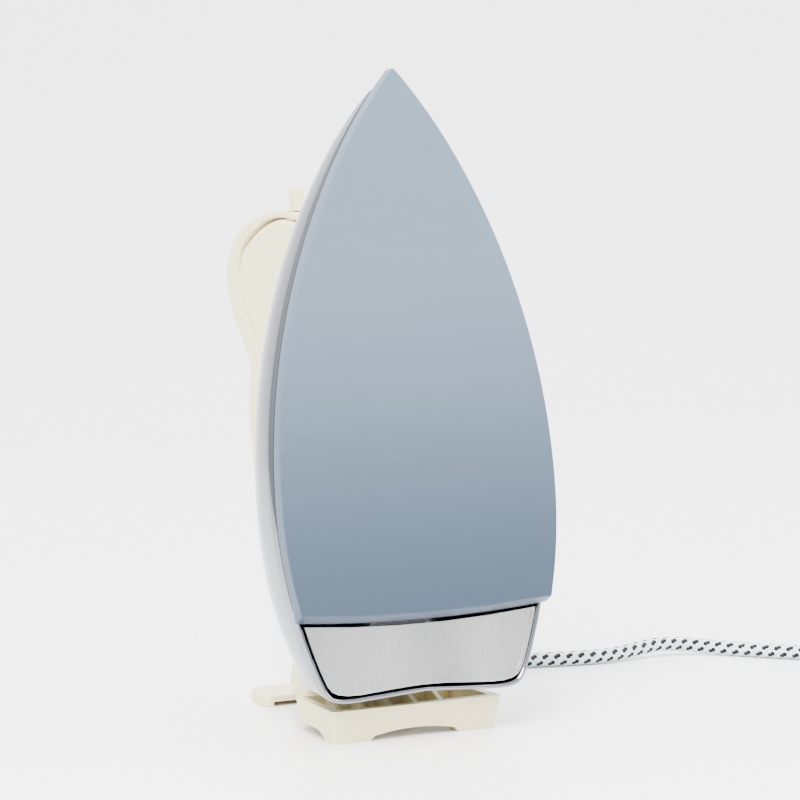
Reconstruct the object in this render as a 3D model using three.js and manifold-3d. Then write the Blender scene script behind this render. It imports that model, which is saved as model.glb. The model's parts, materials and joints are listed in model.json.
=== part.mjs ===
// A heavy electric dry iron standing on its heel, nose up, with its braided mains lead.
// Millimetres, +Z up, soleplate facing -Y, handle towards +Y.
//
// Two frames are used. The iron's own frame has x across, y towards the nose, z from the
// soleplate to the handle, and its origin at the middle of the soleplate's rear edge. The
// stand frame is the world, with the floor at z = 0: the heel block, the rear foot and the
// lead are made in it. `inWorld` turns a group of the first kind into the second.

import * as THREE from 'three';
import { mergeVertices, toCreasedNormals } from 'three/addons/utils/BufferGeometryUtils.js';
import ManifoldModule from 'manifold-3d';

const manifoldLibrary = await ManifoldModule();
manifoldLibrary.setup();
const { Manifold, Mesh: ManifoldMesh } = manifoldLibrary;

// ---------------------------------------------------------------- driving dimensions

const LEAN = THREE.MathUtils.degToRad(8.2);   // the nose leans back over the heel
const HEEL_RISE = 51.2;                       // soleplate's rear edge above the floor
const DEPTH_CENTRE = 72.3;                    // middle of the iron's depth, moved to y = 0
const GAP = 0.3;                              // between pieces that touch

const SOLE_HALF_WIDTH = 58;                   // at the widest place
const SOLE_WIDEST_Y = 41.5;
const SOLE_NOSE_RADIUS = 254;                 // side arcs that meet at the nose
const SOLE_HEEL_RADIUS = 175;                 // side arcs behind the widest place
const SOLE_POINT_Y = 170;                     // ahead of this the sides draw in to a sharper point
const SOLE_POINT_DRAW = 1.25;
const SOLE_LENGTH = 201;
const SOLE_THICKNESS = 6;
const SOLE_REAR_BULGE = 2.4;                  // the rear edge is slightly convex
const SOLE_REAR_DRAFT = 2.6;                  // the rear wall slopes out towards the cover

const COVER_RIM_Z = 6.8;                      // lower edge of the chrome cover
const COVER_HEIGHT = 42;                      // above its rim
const COVER_WALL = 1.3;
const COVER_CORNER = 3;                       // exponent of its rounded-box section
const COVER_NOSE_Y = 194;
const COVER_CREST_Y = 55;                     // the top falls away in front of this
const COVER_REAR_Y = -36.6;
const COVER_REAR_ROUND = 11.5;
const COVER_REAR_SLANT = 0.2;                 // the rear end runs level with the floor
const COVER_REAR_ARCH = 5;                    // rise of the rear edge in the middle
const ARCH_HALF_SPAN = 40;

const PLATE_Z = 6.4;                          // brushed plate behind the soleplate
const PLATE_THICKNESS = 1.4;
const PLATE_FRONT_Y = -3.9;
const PLATE_CLEARANCE = 1.2;                  // dark gap between the plate and the cover's rim

const HANDLE_HALF_WIDTH = 15;
const STRIP_HALF_WIDTH = 14.5;
const STRIP_GROOVE = 1.4;                     // open groove round the front of the handle
const STRIP_GROOVE_END_Y = 130;               // behind this the groove is a closed seam

const SELECTOR_Y = 137;                       // axis of the heat selector
const SELECTOR_Z = 67.6;
const SELECTOR_ARM = 21.5;                    // axis to the root of the thumb tab
const SELECTOR_TURN = THREE.MathUtils.degToRad(-21);   // rest position, towards iron +x

const HEEL_HEIGHT = 13;
const HEEL_WALL = 2.6;
const HEEL_FLOOR_Z = 3.8;                     // underside between the feet
const HEEL_FRONT_Y = 11.5;
const HEEL_HALF_WIDTH = 34.5;
const TAIL_FLOOR_Z = 7.2;
const PLINTH_TOP = 20;                        // the handle's rear leg stands on this

const FOOT_HALF_WIDTH = 26;
const FOOT_FRONT_Y = 87;
const FOOT_REAR_Y = 108;
const FOOT_TOP_Z = 4.4;
const FOOT_PAD_Z = 1.9;                       // height of the slot under the foot
const TONGUE_Z = 3;                           // underside of its tongue below the heel's tail

const CORD_RADIUS = 3;
const CORD_SIDES = 10;
const COIL_CENTRE = [278, 36];
const COIL_INNER = 24;
const COIL_OUTER = 42;
const COIL_TOP = 15.2;

// The lead's own route, in the stand frame: out of the guard, down to the floor, to the coil.
const CORD_ROUTE = [
  [45, 95, 14.6], [52, 99, 11.6], [60, 103, 8.6], [69, 106.9, 6.0],
  [79, 109.6, 4.0], [90, 111.4, 3.2], [101, 112, 3.1], [112, 110.6, 3.1],
  [124, 107.4, 3.1], [136, 105.3, 3.1], [148, 105.2, 3.4], [160, 106.4, 4.4],
  [171, 107.2, 5.2], [182, 105.6, 4.6], [192, 100.4, 3.6], [201, 92, 3.1],
  [210, 82.4, 3.1], [219, 73, 3.1], [228, 63.4, 3.1], [234.6, 51.4, 3.1],
];
const TAIL_ROUTE = [[324.1, 43.4, 3.1], [325.8, 48.4, 3.6], [327.6, 53.6, 4.9], [329.3, 58.6, 6.4]];

// ---------------------------------------------------------------- materials

const CREAM = { color: 0xe7e3d7, roughness: 0.38, metalness: 0 };
const CHROME = { color: 0xd4d6d8, roughness: 0.08, metalness: 1 };
const SATIN_SOLE = { color: 0xa9b8c6, roughness: 0.35, metalness: 0.8 };
const BRUSHED = { color: 0xdadcdd, roughness: 0.32, metalness: 1 };
const CAST_IRON = { color: 0x4a4c4e, roughness: 0.7, metalness: 0.6 };
const ZINC = { color: 0xb9bcbe, roughness: 0.35, metalness: 1 };
const BRASS = { color: 0xb9974e, roughness: 0.3, metalness: 1 };
const CERAMIC = { color: 0xe9e5da, roughness: 0.6, metalness: 0 };
const MICA = { color: 0xb7a584, roughness: 0.5, metalness: 0 };
const RUBBER = { color: 0xd9d7cf, roughness: 0.7, metalness: 0 };
const BRAID = { color: 0xdde2e2, roughness: 0.9, metalness: 0 };

function piece(name, geometry, look) {
  const mesh = new THREE.Mesh(geometry, new THREE.MeshStandardMaterial(look));
  mesh.name = name;
  return mesh;
}

// ---------------------------------------------------------------- solids

function toManifold(geometry) {
  const bare = new THREE.BufferGeometry();
  bare.setAttribute('position', geometry.attributes.position.clone());
  if (geometry.index) bare.setIndex(geometry.index.clone());
  const merged = mergeVertices(bare, 1e-4);
  return new Manifold(new ManifoldMesh({
    numProp: 3,
    vertProperties: new Float32Array(merged.attributes.position.array),
    triVerts: new Uint32Array(merged.index.array),
  }));
}

function fromManifold(solid) {
  const mesh = solid.getMesh();
  const geometry = new THREE.BufferGeometry();
  geometry.setAttribute('position', new THREE.BufferAttribute(new Float32Array(mesh.vertProperties), 3));
  geometry.setIndex(new THREE.BufferAttribute(new Uint32Array(mesh.triVerts), 1));
  return toCreasedNormals(geometry, 0.6);
}

function cut(geometry, ...tools) {
  return fromManifold(tools.reduce((solid, tool) => solid.subtract(toManifold(tool)), toManifold(geometry)));
}

function join(...geometries) {
  const [first, ...rest] = geometries.map(toManifold);
  return fromManifold(rest.reduce((solid, other) => solid.add(other), first));
}

// An upright cylinder (axis z) from z0 to z1.
function post(x, y, z0, z1, radius, sides = 20) {
  const geometry = new THREE.CylinderGeometry(radius, radius, z1 - z0, sides);
  geometry.rotateX(Math.PI / 2);
  geometry.translate(x, y, (z0 + z1) / 2);
  return geometry;
}

function box(x0, x1, y0, y1, z0, z1) {
  const geometry = new THREE.BoxGeometry(x1 - x0, y1 - y0, z1 - z0);
  geometry.translate((x0 + x1) / 2, (y0 + y1) / 2, (z0 + z1) / 2);
  return geometry;
}

// A pan-headed screw, head up, standing on z = seat.
function screw(x, y, seat, length, radius = 1.9) {
  return join(
    post(x, y, seat - length, seat + 0.2, radius, 12),
    cut(
      post(x, y, seat, seat + 2.2, radius * 1.9, 16),
      box(x - radius * 1.3, x + radius * 1.3, y - 0.45, y + 0.45, seat + 1.3, seat + 3),
    ),
  );
}

// A plate from an outline in x and y, bevelled, between two heights.
function slab(points, z0, z1, bevel = 0) {
  const shape = new THREE.Shape(points.map(([x, y]) => new THREE.Vector2(x, y)));
  const geometry = new THREE.ExtrudeGeometry(shape, {
    depth: z1 - z0 - 2 * bevel,
    bevelEnabled: bevel > 0,
    bevelThickness: bevel,
    bevelSize: bevel,
    bevelOffset: -bevel,
    bevelSegments: 2,
    steps: 1,
  });
  geometry.translate(0, 0, z0 + bevel);
  return geometry;
}

// A side profile in y and z, made into a solid across x with rounded edges.
function profileSolid(points, halfWidth, round, segments = 3) {
  const shape = new THREE.Shape(points.map(([y, z]) => new THREE.Vector2(y, z)));
  const geometry = new THREE.ExtrudeGeometry(shape, {
    depth: 2 * (halfWidth - round),
    bevelEnabled: true,
    bevelThickness: round,
    bevelSize: round,
    bevelOffset: -round,
    bevelSegments: segments,
    steps: 1,
  });
  geometry.translate(0, 0, -(halfWidth - round));
  geometry.applyMatrix4(new THREE.Matrix4().makeBasis(
    new THREE.Vector3(0, 1, 0),
    new THREE.Vector3(0, 0, 1),
    new THREE.Vector3(1, 0, 0),
  ));
  return geometry;
}

function tube(points, radius, sides, steps) {
  const curve = new THREE.CatmullRomCurve3(points.map((p) => new THREE.Vector3(...p)), false, 'centripetal');
  const ring = new THREE.Shape(range(sides).map((i) => {
    const angle = (2 * Math.PI * i) / sides;
    return new THREE.Vector2(radius * Math.cos(angle), radius * Math.sin(angle));
  }));
  return new THREE.ExtrudeGeometry(ring, {
    steps,
    extrudePath: curve,
    bevelEnabled: false,
  });
}

// A solid turned about y from a profile of radius and height.
function lathe(profile, sides) {
  return new THREE.LatheGeometry(profile.map(([r, h]) => new THREE.Vector2(r, h)), sides);
}

function range(count) {
  return Array.from({ length: count }, (_, i) => i);
}

const SIDES = [['left', -1], ['right', 1]];
const CORES = [['live', -10.5], ['earth', 0], ['neutral', 10.5]];

// ---------------------------------------------------------------- the two frames

const IRON_TO_WORLD = new THREE.Matrix4().makeBasis(
  new THREE.Vector3(-1, 0, 0),
  new THREE.Vector3(0, Math.sin(LEAN), Math.cos(LEAN)),
  new THREE.Vector3(0, Math.cos(LEAN), -Math.sin(LEAN)),
).setPosition(0, 0, HEEL_RISE);
const WORLD_TO_IRON = IRON_TO_WORLD.clone().invert();

function inWorld(geometry) {
  return geometry.clone().applyMatrix4(IRON_TO_WORLD);
}

function inIron(geometry) {
  return geometry.clone().applyMatrix4(WORLD_TO_IRON);
}

// ---------------------------------------------------------------- soleplate and cover

function soleHalfWidth(y) {
  const radius = y > SOLE_WIDEST_Y ? SOLE_NOSE_RADIUS : SOLE_HEEL_RADIUS;
  const arc = SOLE_HALF_WIDTH - radius + Math.sqrt(radius ** 2 - (y - SOLE_WIDEST_Y) ** 2);
  const intoPoint = Math.max(y - SOLE_POINT_Y, 0) / (SOLE_LENGTH - SOLE_POINT_Y);
  return arc - SOLE_POINT_DRAW * intoPoint ** 2;
}

// The soleplate's outline, drawn in by `inset`, from rear corner to rear corner.
function soleOutline(inset, rearY, noseY, steps) {
  const side = range(steps + 1).map((i) => {
    const y = rearY + ((noseY - rearY) * i) / steps;
    return [Math.max(soleHalfWidth(y) - inset, 0.4), y];
  });
  const rearHalf = side[0][0];
  const rear = range(9).slice(1, 8).map((i) => {
    const x = -rearHalf + (2 * rearHalf * i) / 8;
    return [x, rearY - SOLE_REAR_BULGE * (1 - (x / rearHalf) ** 2)];
  });
  return [...side, ...side.map(([x, y]) => [-x, y]).reverse(), ...rear];
}

function soleplate() {
  const plate = slab(soleOutline(0, 0, SOLE_LENGTH, 44), 0, SOLE_THICKNESS, 0.5);
  // The rear wall slopes: upper rings of vertices move back as they rise.
  const position = plate.attributes.position;
  for (let i = 0; i < position.count; i += 1) {
    const nearRear = THREE.MathUtils.clamp(1 - position.getY(i) / 4, 0, 1);
    const rise = THREE.MathUtils.clamp(position.getZ(i) / SOLE_THICKNESS, 0, 1);
    position.setY(i, position.getY(i) - SOLE_REAR_DRAFT * nearRear * rise);
  }
  return plate;
}

function coverHalfWidth(y) {
  return Math.max(soleHalfWidth(y) - 0.4, 0.4);
}

function coverHeight(y) {
  const run = THREE.MathUtils.clamp((y - COVER_CREST_Y) / (COVER_NOSE_Y + 1 - COVER_CREST_Y), 0, 1);
  return COVER_HEIGHT * (1 - run ** 2) ** 0.55;
}

// How far the section has closed in at the rounded rear end: 1 until the rounding starts.
function rearClosing(y, rearY) {
  const into = THREE.MathUtils.clamp((rearY + COVER_REAR_ROUND - y) / COVER_REAR_ROUND, 0, 1);
  return (1 - into ** 4) ** 0.25;
}

// The rear end leans level with the floor and arches up in the middle.
function rearShift(x, y, z) {
  const weight = THREE.MathUtils.smoothstep(-y, -10, 30);
  const arch = Math.max(1 - (x / ARCH_HALF_SPAN) ** 2, 0);
  return weight * (COVER_REAR_SLANT * (z - COVER_RIM_Z) + COVER_REAR_ARCH * arch);
}

// The cover's dome as a solid, drawn in by `inset` all over and reaching down to `floorZ`.
function coverSolid(inset, floorZ, around = 26, along = 40) {
  const rearY = COVER_REAR_Y + inset;
  const noseY = COVER_NOSE_Y - inset * 1.6;
  const stations = range(along + 1).map((j) => {
    const t = j / along;
    // Closer stations where the ends close in.
    const eased = 0.5 - 0.5 * Math.cos(Math.PI * t);
    return rearY + (noseY - rearY) * (0.65 * eased + 0.35 * t);
  });
  const rings = stations.map((y) => {
    const closing = Math.max(rearClosing(y, rearY), 0.03);
    const half = Math.max((coverHalfWidth(y) - inset) * closing, 0.15);
    const height = Math.max((coverHeight(y) - inset) * closing, 0.5);
    const arc = range(around + 1).map((i) => {
      const angle = (Math.PI * i) / around;
      const cos = Math.cos(angle);
      const sin = Math.max(Math.sin(angle), 0);
      const x = half * Math.sign(cos) * Math.abs(cos) ** (2 / COVER_CORNER);
      const z = COVER_RIM_Z + height * sin ** (2 / COVER_CORNER);
      return [x, y + rearShift(x, y, z), z];
    });
    const base = [-half, half].map((x) => [x, y + rearShift(x, y, COVER_RIM_Z), floorZ]);
    return floorZ < COVER_RIM_Z ? [...arc, ...base] : arc;
  });
  const count = rings[0].length;
  const corners = rings.flat().flat();
  const index = [];
  for (let j = 0; j < along; j += 1) {
    for (let i = 0; i < count; i += 1) {
      const a = j * count + i;
      const b = j * count + ((i + 1) % count);
      index.push(a, a + count, b, b, a + count, b + count);
    }
  }
  for (let i = 1; i < count - 1; i += 1) {
    index.push(0, i, i + 1);
    const last = along * count;
    index.push(last, last + i + 1, last + i);
  }
  const geometry = new THREE.BufferGeometry();
  geometry.setAttribute('position', new THREE.Float32BufferAttribute(corners, 3));
  geometry.setIndex(index);
  return geometry;
}

const FRONT_STUD_Y = 124;
const REAR_STUD_Y = -16;
const WIRE_Y = -7;

function coverShell() {
  return cut(
    coverSolid(0, COVER_RIM_Z),
    coverSolid(COVER_WALL, COVER_RIM_Z - 3, 20, 30),
    post(0, SELECTOR_Y, 30, 60, 3.4),
    post(0, FRONT_STUD_Y, 30, 60, 3),
    post(0, REAR_STUD_Y, 30, 60, 3),
    post(0, WIRE_Y, 30, 60, 4.8),
  );
}

// The brushed plate follows the cover's rim round the rear, and the soleplate's edge in front.
function plateOutline(inset) {
  const draw = COVER_WALL + PLATE_CLEARANCE + inset;
  const rearY = COVER_REAR_Y + draw;
  const frontY = PLATE_FRONT_Y - inset;
  const steps = 14;
  const side = range(steps).map((i) => {
    const y = frontY + (rearY - frontY) * Math.sin((Math.PI / 2) * (i / (steps - 1)));
    const x = (coverHalfWidth(y) - draw) * Math.max(rearClosing(y, rearY), 0.3);
    return [x, y + rearShift(x, y, COVER_RIM_Z)];
  });
  const last = side[steps - 1];
  const arch = range(6).slice(1, 5).map((i) => {
    const x = last[0] * (1 - (2 * i) / 5);
    return [x, rearY + rearShift(x, rearY, COVER_RIM_Z)];
  });
  const front = range(6).slice(1, 5).map((i) => {
    const x = side[0][0] * ((2 * i) / 5 - 1);
    return [x, frontY - SOLE_REAR_BULGE * (1 - (x / side[0][0]) ** 2)];
  });
  return [...side, ...arch, ...side.map(([x, y]) => [-x, y]).reverse(), ...front].reverse();
}

function rearPlate() {
  return cut(
    slab(plateOutline(0), PLATE_Z, PLATE_Z + PLATE_THICKNESS, 0.2),
    slab(plateOutline(1.3), PLATE_Z - 1, PLATE_Z + 0.45),
  );
}

// ---------------------------------------------------------------- handle

const spline = (points) => new THREE.SplineCurve(points.map(([y, z]) => new THREE.Vector2(y, z)));

// The handle's top line from the front foot over the hump, dip and palm swell to the heel.
const HANDLE_LINE = spline([
  [149, 30], [151.2, 48], [153.4, 62], [155.6, 74], [156.3, 84], [155.5, 93],
  [153.8, 104.7], [150.4, 115], [144, 123], [134, 127], [122, 125.2], [110, 118.2],
  [102, 112.4], [96, 110.6], [88, 113.2], [76, 114.8], [60, 114.4], [42, 112.2],
  [24, 107.8], [6, 102], [-12, 95], [-30, 90.6],
]);
// The underside of the top strip: deep along the grip, close under the front leg's face.
const SEAM_LINE = spline([
  [146.2, 30], [148.4, 48], [150.6, 62], [152.8, 74], [153.4, 84], [152.2, 93],
  [148.6, 104], [144.4, 111.4], [138, 115.4], [131, 116.6], [124, 114.6], [115.4, 109.4],
  [106.8, 103.8], [96, 101.4], [86, 103.6], [75.6, 104.8], [60.8, 104.6], [43.8, 103.2],
  [26.7, 100.2], [9.4, 94.4], [-9, 87.5], [-27.6, 82.6],
]);
const LINE_STEPS = 72;

// Points of a line moved inwards by a depth that may vary with the height z.
function lineInwards(line, depthAt) {
  return range(LINE_STEPS + 1).map((i) => {
    const t = i / LINE_STEPS;
    const at = line.getPoint(t);
    const along = line.getTangent(t);
    const depth = depthAt(at.x, at.y);
    return [at.x - along.y * depth, at.y + along.x * depth];
  });
}

// A closed seam under the strip, opening to a groove round the front of the handle.
function seamGap(y, z) {
  const { smoothstep } = THREE.MathUtils;
  const open = smoothstep(y, STRIP_GROOVE_END_Y, STRIP_GROOVE_END_Y + 8) * smoothstep(z, 72, 90);
  return GAP + (STRIP_GROOVE - GAP) * open;
}

// Everything below the top of the rear plinth, as a slab in the iron's frame.
function belowHandle() {
  return inIron(box(-80, 80, -60, 130, -60, PLINTH_TOP + GAP));
}

function coverClearance() {
  return coverSolid(-GAP, 0);
}

function selectorSlot() {
  const reach = 34;
  const swing = Math.abs(SELECTOR_TURN) + THREE.MathUtils.degToRad(14);
  const fan = range(9).map((i) => {
    const angle = -swing + (2 * swing * i) / 8;
    return [reach * Math.sin(angle), SELECTOR_Y + reach * Math.cos(angle)];
  });
  const outline = [[-4, SELECTOR_Y - 3], ...fan, [4, SELECTOR_Y - 3]].reverse();
  const sector = slab(outline, SELECTOR_Z - 0.9, SELECTOR_Z + 4.4);
  return join(sector, post(0, SELECTOR_Y, SELECTOR_Z - 0.9, SELECTOR_Z + 4.4, 7.4));
}

function handleBody() {
  const top = lineInwards(SEAM_LINE, seamGap);
  const rearLeg = [[-34, 60], [-34, 40], [2, 40], [1.4, 62], [3.4, 76], [9, 85], [19, 90]];
  const grip = [[34, 92], [60, 92.8], [86, 92], [102, 89.6]];
  const frontLeg = [[110.5, 83.5], [115, 72], [118.5, 30]];
  const solid = profileSolid([...top, ...rearLeg, ...grip, ...frontLeg].reverse(), HANDLE_HALF_WIDTH, 3);
  return cut(
    solid,
    coverClearance(),
    belowHandle(),
    selectorSlot(),
    post(0, SELECTOR_Y, 30, SELECTOR_Z + 1, 3.2),
    post(0, FRONT_STUD_Y, 30, 62, 2.9),
    post(0, REAR_STUD_Y, 30, 66, 2.9),
    post(0, WIRE_Y, 30, 68, 4.6),
    box(-11.5, 11.5, -16.5, -1.6, 66, 80),
    guardBore(),
  );
}

function topStrip() {
  const outer = lineInwards(HANDLE_LINE, () => 0);
  const inner = lineInwards(SEAM_LINE, () => 0).reverse();
  const strip = profileSolid([...outer, ...inner].reverse(), STRIP_HALF_WIDTH, 1.1, 2);
  return cut(strip, coverClearance(), belowHandle(), selectorSlot());
}

// ---------------------------------------------------------------- heat selector

const SELECTOR_THICKNESS = 3.4;

function selectorLever() {
  const hub = post(0, 0, 0, SELECTOR_THICKNESS, 6.4, 28);
  const arm = box(-1.7, 1.7, 0, SELECTOR_ARM + 1, 0, SELECTOR_THICKNESS);
  const tab = slab([[-0.8, -2.4], [3.8, -2.4], [3.8, 6.6], [-0.8, 6.6]], -0.6, 4.2, 0.5);
  tab.rotateZ(-SELECTOR_TURN);                // square to the handle at rest
  tab.translate(0, SELECTOR_ARM, 0);
  return cut(join(hub, arm, tab), post(0, 0, -1, SELECTOR_THICKNESS + 1, 2.5));
}

function selectorSpindle() {
  return join(
    post(0, 0, 26 - SELECTOR_Z, SELECTOR_THICKNESS - 0.2, 2.2),
    post(0, 0, 26.6 - SELECTOR_Z, 28.2 - SELECTOR_Z, 3.6),
  );
}

function selector() {
  const group = new THREE.Group();
  group.position.set(0, SELECTOR_Y, SELECTOR_Z);
  group.rotation.z = SELECTOR_TURN;
  group.add(piece('heat_selector_lever', selectorLever(), CREAM));
  group.add(piece('selector_spindle', selectorSpindle(), ZINC));
  return group;
}

// ---------------------------------------------------------------- inside the cover

const WEIGHT_SCREW_X = 39;
const WEIGHT_SCREW_Y = 60;

function heatingElement() {
  const half = 27;
  const bend = [[half, 14], [half, 70], [half - 1, 108], [20, 140], [10, 160], [0, 166]];
  const path = [...bend, ...bend.slice(0, -1).reverse().map(([x, y]) => [-x, y])];
  return tube(path.map(([x, y]) => [x, y, SOLE_THICKNESS + 4]), 3.6, 10, 48);
}

function weightPlate() {
  return cut(
    slab(soleOutline(11, 17, 162, 24), 14.4, 25.4, 0.8),
    post(0, SELECTOR_Y, 10, 30, 16.5, 32),
    post(0, FRONT_STUD_Y - 22, 10, 30, 2.9),
    post(WEIGHT_SCREW_X, WEIGHT_SCREW_Y, 10, 30, 2.5),
    post(-WEIGHT_SCREW_X, WEIGHT_SCREW_Y, 10, 30, 2.5),
  );
}

function weightScrews() {
  return SIDES.map(([side, sign]) => piece(
    `weight_plate_screw_${side}`,
    screw(sign * WEIGHT_SCREW_X, WEIGHT_SCREW_Y, 25.7, 19),
    ZINC,
  ));
}

function heatShield() {
  return cut(
    slab(soleOutline(15, 22, 152, 20), 28.6, 29.2),
    post(0, SELECTOR_Y, 20, 40, 4.6),
    post(0, FRONT_STUD_Y, 20, 40, 3),
    post(WEIGHT_SCREW_X, WEIGHT_SCREW_Y, 20, 40, 6),
    post(-WEIGHT_SCREW_X, WEIGHT_SCREW_Y, 20, 40, 6),
  );
}

function thermostat() {
  const y = SELECTOR_Y;
  return [
    piece('thermostat_base', join(
      box(-8, 8, y - 12, y + 8, 6.3, 8.3),
      box(-8, 8, y - 12, y - 7, 8, 11.7),
    ), ZINC),
    piece('bimetal_strip', box(-5, 5, y - 12, y + 7, 12, 12.9), BRASS),
    piece('thermostat_stack', cut(
      box(-6, 6, y - 12, y - 5, 13.2, 21),
      box(-4, 4, y - 9, y, 15.6, 16.8),
    ), CERAMIC),
    piece('lower_contact_arm', box(-3.6, 3.6, y - 8.6, y + 8, 15.9, 16.5), BRASS),
    piece('upper_contact_arm', box(-3.6, 3.6, y - 4.6, y + 8, 19.2, 19.8), BRASS),
    piece('lower_contact', post(0, y + 6, 16.8, 17.7, 1.6, 14), ZINC),
    piece('upper_contact', post(0, y + 6, 18, 18.9, 1.6, 14), ZINC),
    piece('adjusting_screw', post(0, y, 20.1, 25.6, 2.6, 18), BRASS),
    piece('spindle_bushing', cut(post(0, y, 29.6, 37.6, 4.3), post(0, y, 20, 50, 2.5)), BRASS),
  ];
}

// A threaded stud with a hexagonal nut at its foot and a round nut at the top.
function stud(y, z0, z1) {
  return join(post(0, y, z0, z1, 2.5), post(0, y, z0, z0 + 3.2, 4.6, 6));
}

function rearBracket() {
  return cut(
    join(box(-12, 12, -24, 40, 26, 27.6), box(-12, 12, -24, -22.4, 15, 27.6)),
    post(0, REAR_STUD_Y, 20, 40, 2.8),
  );
}

function terminalBlock() {
  const bores = CORES.map(([, x]) => post(x, 14, 34, 50, 2.6, 14));
  return cut(box(-17, 17, 6, 22, 30, 41), ...bores);
}

function terminalScrew(x) {
  return cut(post(x, 14, 36, 40, 2.2, 14), box(x - 2.5, x + 2.5, 13.6, 14.4, 39, 41));
}

function coreWire(x) {
  return tube([
    [x * 0.26, WIRE_Y, 68], [x * 0.26, WIRE_Y, 56], [x * 0.26, WIRE_Y + 0.8, 46.5],
    [x * 0.5, -2, 38], [x, 5.4, 36.5],
  ], 1.1, 8, 14);
}

// ---------------------------------------------------------------- heel

// Half of the heel's plan, from the front centre round to the tail.
function heelPlan(front, frontHalf, sideHalf) {
  const side = [
    [frontHalf - 1.2, front], [frontHalf, front + 1.2], [sideHalf, 40], [sideHalf - 1.2, 44],
    [sideHalf - 4.6, 46.2], [26, 49], [24.6, 62], [21.4, 70], [15.4, 78], [13.4, 85.6],
  ];
  return [...side, ...side.map(([x, y]) => [-x, y]).reverse()];
}

// A solid between two plans with the same number of points.
function loft(lower, upper, z0, z1) {
  const count = lower.length;
  const corners = [...lower.map(([x, y]) => [x, y, z0]), ...upper.map(([x, y]) => [x, y, z1])];
  const index = [];
  const faces = THREE.ShapeUtils.triangulateShape(lower.map(([x, y]) => new THREE.Vector2(x, y)), []);
  for (const [a, b, c] of faces) {
    index.push(a, c, b, a + count, b + count, c + count);
  }
  for (let i = 0; i < count; i += 1) {
    const next = (i + 1) % count;
    index.push(i, next, i + count, next, next + count, i + count);
  }
  const geometry = new THREE.BufferGeometry();
  geometry.setAttribute('position', new THREE.Float32BufferAttribute(corners.flat(), 3));
  geometry.setIndex(index);
  return geometry;
}

// The space under the heel block: an arch across the front, and behind the feet.
function heelUndercut() {
  const arch = range(9).map((i) => {
    const x = -23 + (46 * i) / 8;
    return [x, HEEL_FLOOR_Z * Math.sin((Math.PI * i) / 8) ** 0.7];
  });
  const front = profileSolid([[-23, -5], ...arch.slice(1, 8), [23, -5]].reverse(), 30, 0.01, 1);
  front.rotateZ(Math.PI / 2);
  const behind = profileSolid([
    [17, -5], [18.4, 0.6], [21.5, 3], [25, HEEL_FLOOR_Z], [41, 4.4],
    [44.4, TAIL_FLOOR_Z], [100, TAIL_FLOOR_Z],
    [100, -5],
  ], 60, 0.01, 1);
  return [front, behind];
}

const HEEL_SCREW = [20, 56];
const FOOT_SCREW_Y = 74;

function heelBlock() {
  const outside = loft(
    heelPlan(HEEL_FRONT_Y, HEEL_HALF_WIDTH, HEEL_HALF_WIDTH - 0.4),
    heelPlan(HEEL_FRONT_Y - 3, HEEL_HALF_WIDTH + 1.7, HEEL_HALF_WIDTH),
    0,
    HEEL_HEIGHT,
  );
  const innerHalf = HEEL_HALF_WIDTH - HEEL_WALL;
  const hollow = box(-innerHalf, innerHalf, HEEL_FRONT_Y + 0.4, 44 - HEEL_WALL, HEEL_FLOOR_Z + 2.4, 40);
  const ribProfile = [[9.6, 5], [9.6, 11.2], [12, 11.2], [26, 6.6], [38, 11.6], [43, 11.6], [43, 5]];
  const ribs = [-22, -11, 0, 11, 22].map((x) => {
    const rib = profileSolid(ribProfile.slice().reverse(), 0.9, 0.05, 1);
    rib.translate(x, 0, 0);
    return rib;
  });
  const tray = cut(outside, hollow, ...heelUndercut());
  const ribbed = join(tray, ...ribs);
  const [sx, sy] = HEEL_SCREW;
  return cut(
    ribbed,
    post(sx, sy, 0, 20, 2.2),
    post(-sx, sy, 0, 20, 2.2),
    post(0, FOOT_SCREW_Y, 0, 20, 2.2),
  );
}

function heelScrews() {
  const [x, y] = HEEL_SCREW;
  return SIDES.map(([side, sign]) => {
    const one = screw(0, 0, 0, 12);
    one.rotateX(Math.PI);
    one.translate(sign * x, y, TAIL_FLOOR_Z - GAP);
    return piece(`heel_screw_${side}`, one, ZINC);
  });
}

// The plinth under the handle's rear leg, behind the cover and on the heel block.
function rearPlinth() {
  const side = [[26, 44], [27, 46.6], [27, 62], [25.4, 66], [16.4, 82], [13.6, 86]];
  const top = side.map(([x, y]) => [x - 1, y - 0.4]);
  const whole = (points) => [...points, ...points.map(([x, y]) => [-x, y]).reverse()];
  const [sx, sy] = HEEL_SCREW;
  const solid = loft(whole(side), whole(top), HEEL_HEIGHT + GAP, PLINTH_TOP);
  return cut(solid, inWorld(coverClearance()), post(sx, sy, 10, 19.2, 2.2), post(-sx, sy, 10, 19.2, 2.2));
}

function rearFoot() {
  const corner = 2.2;
  const plan = [
    [FOOT_HALF_WIDTH - corner, FOOT_FRONT_Y], [FOOT_HALF_WIDTH, FOOT_FRONT_Y + corner],
    [FOOT_HALF_WIDTH - 2, FOOT_REAR_Y - 5], [FOOT_HALF_WIDTH - 6, FOOT_REAR_Y],
  ];
  const outline = [...plan, ...plan.map(([x, y]) => [-x, y]).reverse()];
  const slotHalf = FOOT_HALF_WIDTH - 4.2;
  return cut(
    join(
      slab(outline, 0, FOOT_TOP_Z, 0.5),
      slab([[-11, 64], [11, 64], [11, 90], [-11, 90]], TONGUE_Z, TAIL_FLOOR_Z - GAP),
      slab([[-11, 86.1], [11, 86.1], [11, 92], [-11, 92]], TONGUE_Z, 9),
    ),
    box(-slotHalf, slotHalf, 60, FOOT_REAR_Y - 4, -5, FOOT_PAD_Z),
    post(0, FOOT_SCREW_Y, 0, 20, 2.2),
  );
}

function footScrew() {
  const one = screw(0, 0, 0, 9.4);
  one.rotateX(Math.PI);
  one.translate(0, FOOT_SCREW_Y, TONGUE_Z - GAP);
  return one;
}

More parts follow.
